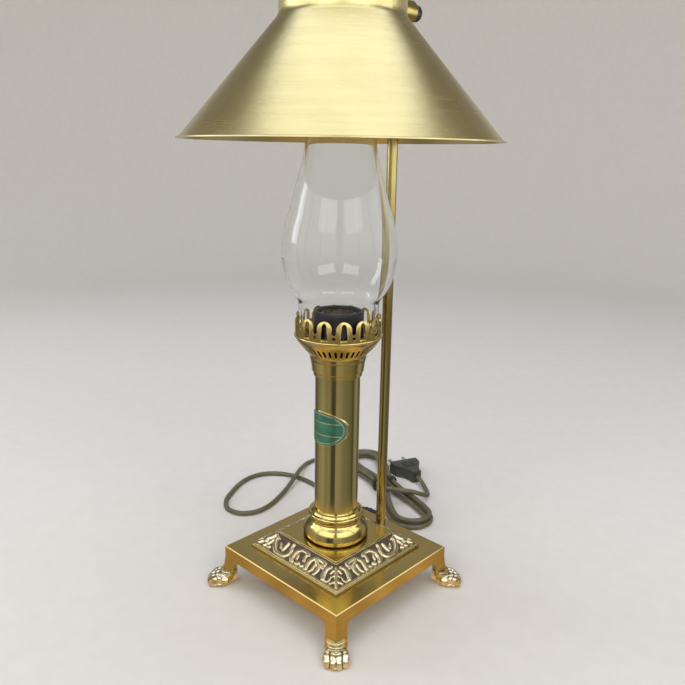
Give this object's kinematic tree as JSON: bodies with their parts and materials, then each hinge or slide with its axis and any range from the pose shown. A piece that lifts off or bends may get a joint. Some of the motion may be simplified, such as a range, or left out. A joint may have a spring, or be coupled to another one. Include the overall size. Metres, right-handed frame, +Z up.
{
  "type": "table lamp",
  "caption": "Brass table lamp in oil-lamp style: paw-footed square plinth, round column, pierced gallery with glass chimney, and a conical shade that slides and turns on a side rod.",
  "frame": {"origin": "on the column's axis at the level of the table, which is the middle of the lamp's footprint", "axes": "+Z up along the column; +Y towards the side rod; -Y is the side with the oval plate; the plinth's sides run along X and Y"},
  "size_m": [0.3454, 0.3703, 0.517],
  "materials": {
    "polished_brass": "polished and lacquered",
    "cast_brass": "cast, highlights polished, recesses dark",
    "satin_brass": "spun and brushed satin",
    "green_enamel": "gloss, light border",
    "clear_glass": "clear",
    "plain_steel": "zinc plated",
    "black_plastic": "semi-gloss moulded",
    "white_insulator": "unglazed white insulator",
    "contact_brass": "nickel-washed",
    "inner_sheath": "matte",
    "black_rubber": "matte",
    "olive_sheath": "smooth satin sheath",
    "olive_plug": "satin moulded",
    "plug_metal": "nickel plated"
  },
  "bodies": {
    "base": {"plinth": "polished_brass", "leaf_frame": "cast_brass", "top_plate": "polished_brass", "paw_foot_front_left": "cast_brass", "paw_foot_front_right": "cast_brass", "paw_foot_back_left": "cast_brass", "paw_foot_back_right": "cast_brass", "column_foot": "polished_brass", "column_tube": "polished_brass", "oval_plate": "green_enamel", "column_collar": "polished_brass", "gallery_bowl": "polished_brass", "gallery_crown": "polished_brass", "threaded_tube": "plain_steel", "tube_washer": "plain_steel", "tube_nut": "plain_steel", "holder_cap": "black_plastic", "holder_shell": "black_plastic", "contact_block": "white_insulator", "socket_shell": "contact_brass", "centre_contact": "contact_brass", "terminal_screws": "contact_brass", "inner_flex": "inner_sheath", "strain_relief": "black_rubber", "cord_lead": "olive_sheath", "cord_hank": "olive_sheath", "cord_tie": "black_rubber", "cord_tail": "olive_sheath", "plug_body": "olive_plug", "plug_pins": "plug_metal"},
    "rod": {"side_rod": "polished_brass", "rod_cap": "polished_brass", "rod_washer": "plain_steel", "rod_nut": "plain_steel"},
    "shade_assembly": {"shade": "satin_brass", "shade_boss": "polished_brass", "boss_screw": "plain_steel"},
    "thumb_screw_assembly": {"thumb_screw": "plain_steel", "thumb_knob": "black_plastic"},
    "glass": {"chimney": "clear_glass"}
  },
  "joints": [
    {"name": "rod_swing", "type": "hinge", "parent": "base", "child": "rod", "pos_m": [0, 0.062, 0.037], "axis": [0, 0, 1], "range_deg": [-15, 15]},
    {"name": "shade_slide", "type": "slide", "parent": "rod", "child": "shade_assembly", "axis": [0, 0, 1], "range_m": [-0.06, 0.008]},
    {"name": "thumb_screw_turn", "type": "hinge", "parent": "shade_assembly", "child": "thumb_screw_assembly", "pos_m": [0, 0.0785, 0.49], "axis": [0, 1, 0], "range_deg": [0, 540]},
    {"name": "chimney_lift", "type": "slide", "parent": "base", "child": "glass", "axis": [0, 0, 1], "range_m": [0, 0.035]}
  ]
}
